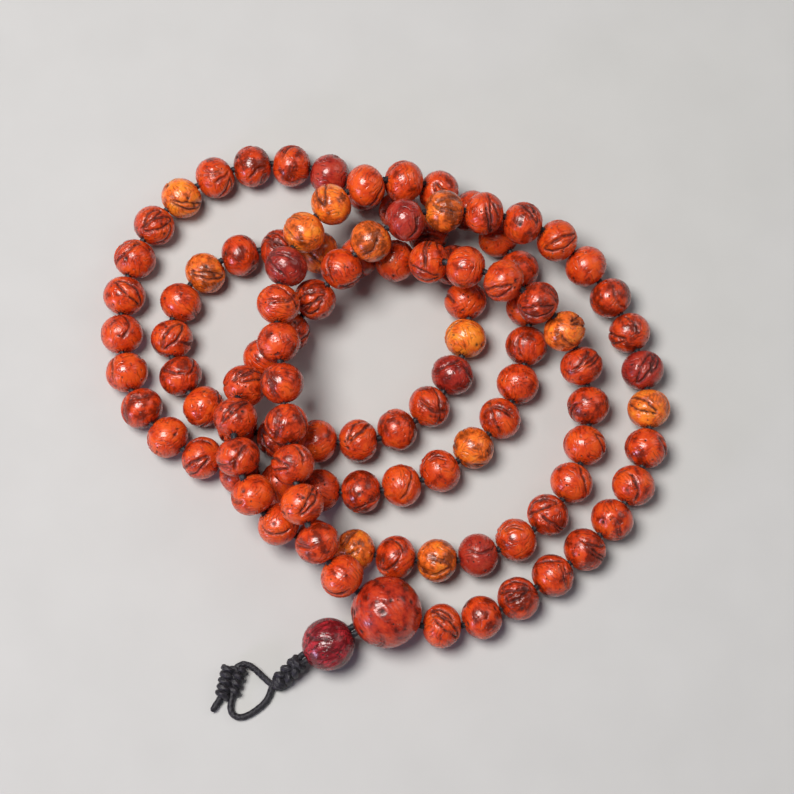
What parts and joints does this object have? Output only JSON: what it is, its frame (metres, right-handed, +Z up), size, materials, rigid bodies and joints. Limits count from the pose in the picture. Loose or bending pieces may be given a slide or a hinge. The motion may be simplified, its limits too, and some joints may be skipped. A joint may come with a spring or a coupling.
{
  "type": "mala prayer beads",
  "caption": "Mala prayer beads: a closed strand of round seed beads on black cord with a guru bead, a tower bead and a knotted tail loop, lying in loose coils.",
  "frame": {"origin": "middle of the strand, guru bead, tower bead and stopper knot seen from above, on the surface that the beads lie on", "axes": "+X to the right with the tail towards the viewer's left, +Y away from the tail, +Z up from the surface"},
  "size_m": [0.1308, 0.1341, 0.0234],
  "materials": {
    "seed_orange_red": "glossy",
    "seed_amber": "glossy",
    "seed_dark_red": "glossy",
    "guru_red": "glossy",
    "tower_maroon": "glossy",
    "cord_black": "satin"
  },
  "bodies": {
    "root": {"strand_cord": "cord_black", "guru_bead": "guru_red", "beads_025_036": "seed_orange_red", "beads_037_048": "seed_orange_red", "beads_049_060": "seed_orange_red", "beads_061_072": "seed_orange_red", "beads_073_084": "seed_orange_red"},
    "tail": {"tail_cord": "cord_black"},
    "tower": {"tower_bead": "tower_maroon"},
    "knot": {"tail_knot": "cord_black"},
    "loop": {"tail_loop": "cord_black", "end_knot": "cord_black"},
    "bead_001": {"bead_001": "seed_orange_red"},
    "bead_002": {"bead_002": "seed_orange_red"},
    "bead_003": {"bead_003": "seed_orange_red"},
    "bead_004": {"bead_004": "seed_orange_red"},
    "bead_005": {"bead_005": "seed_orange_red"},
    "bead_006": {"bead_006": "seed_orange_red"},
    "bead_007": {"bead_007": "seed_orange_red"},
    "bead_008": {"bead_008": "seed_orange_red"},
    "bead_009": {"bead_009": "seed_amber"},
    "bead_010": {"bead_010": "seed_dark_red"},
    "bead_011": {"bead_011": "seed_orange_red"},
    "bead_012": {"bead_012": "seed_orange_red"},
    "bead_013": {"bead_013": "seed_orange_red"},
    "bead_014": {"bead_014": "seed_orange_red"},
    "bead_015": {"bead_015": "seed_orange_red"},
    "bead_016": {"bead_016": "seed_orange_red"},
    "bead_017": {"bead_017": "seed_amber"},
    "bead_018": {"bead_018": "seed_dark_red"},
    "bead_019": {"bead_019": "seed_amber"},
    "bead_020": {"bead_020": "seed_orange_red"},
    "bead_021": {"bead_021": "seed_orange_red"},
    "bead_022": {"bead_022": "seed_orange_red"},
    "bead_023": {"bead_023": "seed_orange_red"},
    "bead_024": {"bead_024": "seed_orange_red"},
    "bead_085": {"bead_085": "seed_orange_red"},
    "bead_086": {"bead_086": "seed_orange_red"},
    "bead_087": {"bead_087": "seed_amber"},
    "bead_088": {"bead_088": "seed_orange_red"},
    "bead_089": {"bead_089": "seed_orange_red"},
    "bead_090": {"bead_090": "seed_orange_red"},
    "bead_091": {"bead_091": "seed_orange_red"},
    "bead_092": {"bead_092": "seed_orange_red"},
    "bead_093": {"bead_093": "seed_orange_red"},
    "bead_094": {"bead_094": "seed_orange_red"},
    "bead_095": {"bead_095": "seed_orange_red"},
    "bead_096": {"bead_096": "seed_orange_red"},
    "bead_097": {"bead_097": "seed_orange_red"},
    "bead_098": {"bead_098": "seed_amber"},
    "bead_099": {"bead_099": "seed_amber"},
    "bead_100": {"bead_100": "seed_dark_red"},
    "bead_101": {"bead_101": "seed_orange_red"},
    "bead_102": {"bead_102": "seed_orange_red"},
    "bead_103": {"bead_103": "seed_orange_red"},
    "bead_104": {"bead_104": "seed_orange_red"},
    "bead_105": {"bead_105": "seed_orange_red"},
    "bead_106": {"bead_106": "seed_orange_red"},
    "bead_107": {"bead_107": "seed_orange_red"},
    "bead_108": {"bead_108": "seed_orange_red"}
  },
  "joints": [
    {"name": "tail_lift", "type": "hinge", "parent": "root", "child": "tail", "pos_m": [-0.00662, -0.05144, 0.00686], "axis": [-0.4695, 0.8829, 0], "range_deg": [0, 25]},
    {"name": "knot_swing", "type": "hinge", "parent": "tail", "child": "knot", "pos_m": [-0.01755, -0.05725, 0.00515], "axis": [0, 0, 1], "range_deg": [-30, 30]},
    {"name": "loop_lift", "type": "hinge", "parent": "knot", "child": "loop", "pos_m": [-0.02413, -0.06317, 0.00108], "axis": [-0.6691, 0.7431, 0], "range_deg": [0, 60]},
    {"name": "tower_spin", "type": "hinge", "parent": "tail", "child": "tower", "pos_m": [-0.01213, -0.05437, 0.006], "axis": [-0.8746, -0.465, -0.137], "continuous": true},
    {"name": "bead_001_spin", "type": "hinge", "parent": "root", "child": "bead_001", "pos_m": [0.01288, -0.05026, 0.00566], "axis": [0.9926, 0.0164, -0.1201], "continuous": true},
    {"name": "bead_002_spin", "type": "hinge", "parent": "root", "child": "bead_002", "pos_m": [0.02172, -0.04832, 0.00505], "axis": [0.9163, 0.4003, -0.0117], "continuous": true},
    {"name": "bead_003_spin", "type": "hinge", "parent": "root", "child": "bead_003", "pos_m": [0.02999, -0.04405, 0.005], "axis": [0.8574, 0.5146, 0], "continuous": true},
    {"name": "bead_004_spin", "type": "hinge", "parent": "root", "child": "bead_004", "pos_m": [0.03776, -0.03891, 0.005], "axis": [0.8085, 0.5885, 0], "continuous": true},
    {"name": "bead_005_spin", "type": "hinge", "parent": "root", "child": "bead_005", "pos_m": [0.04497, -0.03301, 0.005], "axis": [0.7374, 0.6754, 0], "continuous": true},
    {"name": "bead_006_spin", "type": "hinge", "parent": "root", "child": "bead_006", "pos_m": [0.05132, -0.02621, 0.005], "axis": [0.6228, 0.7823, 0], "continuous": true},
    {"name": "bead_007_spin", "type": "hinge", "parent": "root", "child": "bead_007", "pos_m": [0.05632, -0.01841, 0.005], "axis": [0.4512, 0.8924, 0], "continuous": true},
    {"name": "bead_008_spin", "type": "hinge", "parent": "root", "child": "bead_008", "pos_m": [0.05944, -0.00971, 0.005], "axis": [0.2189, 0.9757, 0], "continuous": true},
    {"name": "bead_009_spin", "type": "hinge", "parent": "root", "child": "bead_009", "pos_m": [0.06037, -0.00051, 0.005], "axis": [-0.0202, 0.9998, 0], "continuous": true},
    {"name": "bead_010_spin", "type": "hinge", "parent": "root", "child": "bead_010", "pos_m": [0.05926, 0.0087, 0.005], "axis": [-0.2176, 0.976, 0], "continuous": true},
    {"name": "bead_011_spin", "type": "hinge", "parent": "root", "child": "bead_011", "pos_m": [0.05648, 0.01756, 0.00505], "axis": [-0.3778, 0.9258, 0.0119], "continuous": true},
    {"name": "bead_012_spin", "type": "hinge", "parent": "root", "child": "bead_012", "pos_m": [0.05226, 0.02579, 0.00566], "axis": [-0.5292, 0.8404, 0.1173], "continuous": true},
    {"name": "bead_013_spin", "type": "hinge", "parent": "root", "child": "bead_013", "pos_m": [0.04666, 0.03277, 0.00772], "axis": [-0.6756, 0.661, 0.3265], "continuous": true},
    {"name": "bead_014_spin", "type": "hinge", "parent": "root", "child": "bead_014", "pos_m": [0.03982, 0.03785, 0.01123], "axis": [-0.7946, 0.4305, 0.4282], "continuous": true},
    {"name": "bead_015_spin", "type": "hinge", "parent": "root", "child": "bead_015", "pos_m": [0.03177, 0.04097, 0.01445], "axis": [-0.934, 0.2413, 0.2635], "continuous": true},
    {"name": "bead_016_spin", "type": "hinge", "parent": "root", "child": "bead_016", "pos_m": [0.02284, 0.04258, 0.01631], "axis": [-0.9851, 0.1038, 0.1369], "continuous": true},
    {"name": "bead_017_spin", "type": "hinge", "parent": "root", "child": "bead_017", "pos_m": [0.01367, 0.04263, 0.01769], "axis": [-0.9828, -0.0942, 0.159], "continuous": true},
    {"name": "bead_018_spin", "type": "hinge", "parent": "root", "child": "bead_018", "pos_m": [0.00488, 0.04026, 0.0184], "axis": [-0.9094, -0.4159, -0.0076], "continuous": true},
    {"name": "bead_019_spin", "type": "hinge", "parent": "root", "child": "bead_019", "pos_m": [-0.00293, 0.03559, 0.01724], "axis": [-0.7716, -0.5892, -0.2397], "continuous": true},
    {"name": "bead_020_spin", "type": "hinge", "parent": "root", "child": "bead_020", "pos_m": [-0.00965, 0.0299, 0.01432], "axis": [-0.6719, -0.6317, -0.3867], "continuous": true},
    {"name": "bead_021_spin", "type": "hinge", "parent": "root", "child": "bead_021", "pos_m": [-0.01571, 0.02384, 0.01064], "axis": [-0.6265, -0.6674, -0.4025], "continuous": true},
    {"name": "bead_022_spin", "type": "hinge", "parent": "root", "child": "bead_022", "pos_m": [-0.02163, 0.01727, 0.00802], "axis": [-0.6467, -0.7457, -0.1606], "continuous": true},
    {"name": "bead_023_spin", "type": "hinge", "parent": "root", "child": "bead_023", "pos_m": [-0.02723, 0.01023, 0.0086], "axis": [-0.563, -0.7749, 0.2873], "continuous": true},
    {"name": "bead_024_spin", "type": "hinge", "parent": "root", "child": "bead_024", "pos_m": [-0.03127, 0.00288, 0.01225], "axis": [-0.3106, -0.8099, 0.4976], "continuous": true},
    {"name": "bead_085_spin", "type": "hinge", "parent": "root", "child": "bead_085", "pos_m": [0.00409, -0.01835, 0.005], "axis": [0.9669, 0.2553, 0], "continuous": true},
    {"name": "bead_086_spin", "type": "hinge", "parent": "root", "child": "bead_086", "pos_m": [0.01269, -0.01494, 0.005], "axis": [0.8798, 0.4754, 0], "continuous": true},
    {"name": "bead_087_spin", "type": "hinge", "parent": "root", "child": "bead_087", "pos_m": [0.02028, -0.00965, 0.005], "axis": [0.7509, 0.6604, 0], "continuous": true},
    {"name": "bead_088_spin", "type": "hinge", "parent": "root", "child": "bead_088", "pos_m": [0.02643, -0.00275, 0.005], "axis": [0.5697, 0.8219, 0], "continuous": true},
    {"name": "bead_089_spin", "type": "hinge", "parent": "root", "child": "bead_089", "pos_m": [0.03062, 0.00547, 0.005], "axis": [0.3304, 0.9438, 0], "continuous": true},
    {"name": "bead_090_spin", "type": "hinge", "parent": "root", "child": "bead_090", "pos_m": [0.03277, 0.01448, 0.005], "axis": [0.132, 0.9912, 0], "continuous": true},
    {"name": "bead_091_spin", "type": "hinge", "parent": "root", "child": "bead_091", "pos_m": [0.03307, 0.02375, 0.005], "axis": [-0.0692, 0.9976, 0], "continuous": true},
    {"name": "bead_092_spin", "type": "hinge", "parent": "root", "child": "bead_092", "pos_m": [0.03113, 0.03275, 0.005], "axis": [-0.3465, 0.9381, 0], "continuous": true},
    {"name": "bead_093_spin", "type": "hinge", "parent": "root", "child": "bead_093", "pos_m": [0.02669, 0.0408, 0.00506], "axis": [-0.6105, 0.7919, 0.0139], "continuous": true},
    {"name": "bead_094_spin", "type": "hinge", "parent": "root", "child": "bead_094", "pos_m": [0.02017, 0.04686, 0.00652], "axis": [-0.8002, 0.5178, 0.3026], "continuous": true},
    {"name": "bead_095_spin", "type": "hinge", "parent": "root", "child": "bead_095", "pos_m": [0.01269, 0.05017, 0.01042], "axis": [-0.8178, 0.1999, 0.5396], "continuous": true},
    {"name": "bead_096_spin", "type": "hinge", "parent": "root", "child": "bead_096", "pos_m": [0.00457, 0.05097, 0.01463], "axis": [-0.93, -0.0287, 0.3664], "continuous": true},
    {"name": "bead_097_spin", "type": "hinge", "parent": "root", "child": "bead_097", "pos_m": [-0.00411, 0.04929, 0.01636], "axis": [-0.9431, -0.3324, 0.0058], "continuous": true},
    {"name": "bead_098_spin", "type": "hinge", "parent": "root", "child": "bead_098", "pos_m": [-0.01204, 0.0448, 0.01623], "axis": [-0.7699, -0.6374, -0.0325], "continuous": true},
    {"name": "bead_099_spin", "type": "hinge", "parent": "root", "child": "bead_099", "pos_m": [-0.01815, 0.03794, 0.01636], "axis": [-0.5439, -0.837, 0.0608], "continuous": true},
    {"name": "bead_100_spin", "type": "hinge", "parent": "root", "child": "bead_100", "pos_m": [-0.02206, 0.02961, 0.01686], "axis": [-0.2978, -0.9535, 0.0455], "continuous": true},
    {"name": "bead_101_spin", "type": "hinge", "parent": "root", "child": "bead_101", "pos_m": [-0.02362, 0.02055, 0.01752], "axis": [-0.0373, -0.9945, 0.0976], "continuous": true},
    {"name": "bead_102_spin", "type": "hinge", "parent": "root", "child": "bead_102", "pos_m": [-0.02339, 0.01128, 0.01823], "axis": [0.0878, -0.9946, 0.0547], "continuous": true},
    {"name": "bead_103_spin", "type": "hinge", "parent": "root", "child": "bead_103", "pos_m": [-0.02252, 0.00204, 0.01793], "axis": [0.0989, -0.9878, -0.1207], "continuous": true},
    {"name": "bead_104_spin", "type": "hinge", "parent": "root", "child": "bead_104", "pos_m": [-0.02145, -0.00717, 0.01706], "axis": [0.1307, -0.9893, -0.0653], "continuous": true},
    {"name": "bead_105_spin", "type": "hinge", "parent": "root", "child": "bead_105", "pos_m": [-0.01994, -0.01633, 0.01728], "axis": [0.1921, -0.975, 0.1117], "continuous": true},
    {"name": "bead_106_spin", "type": "hinge", "parent": "root", "child": "bead_106", "pos_m": [-0.01777, -0.02535, 0.01763], "axis": [0.2742, -0.961, -0.0352], "continuous": true},
    {"name": "bead_107_spin", "type": "hinge", "parent": "root", "child": "bead_107", "pos_m": [-0.01428, -0.03367, 0.01614], "axis": [0.4784, -0.8296, -0.2879], "continuous": true},
    {"name": "bead_108_spin", "type": "hinge", "parent": "root", "child": "bead_108", "pos_m": [-0.009, -0.04038, 0.01277], "axis": [0.6576, -0.6149, -0.4354], "continuous": true}
  ]
}
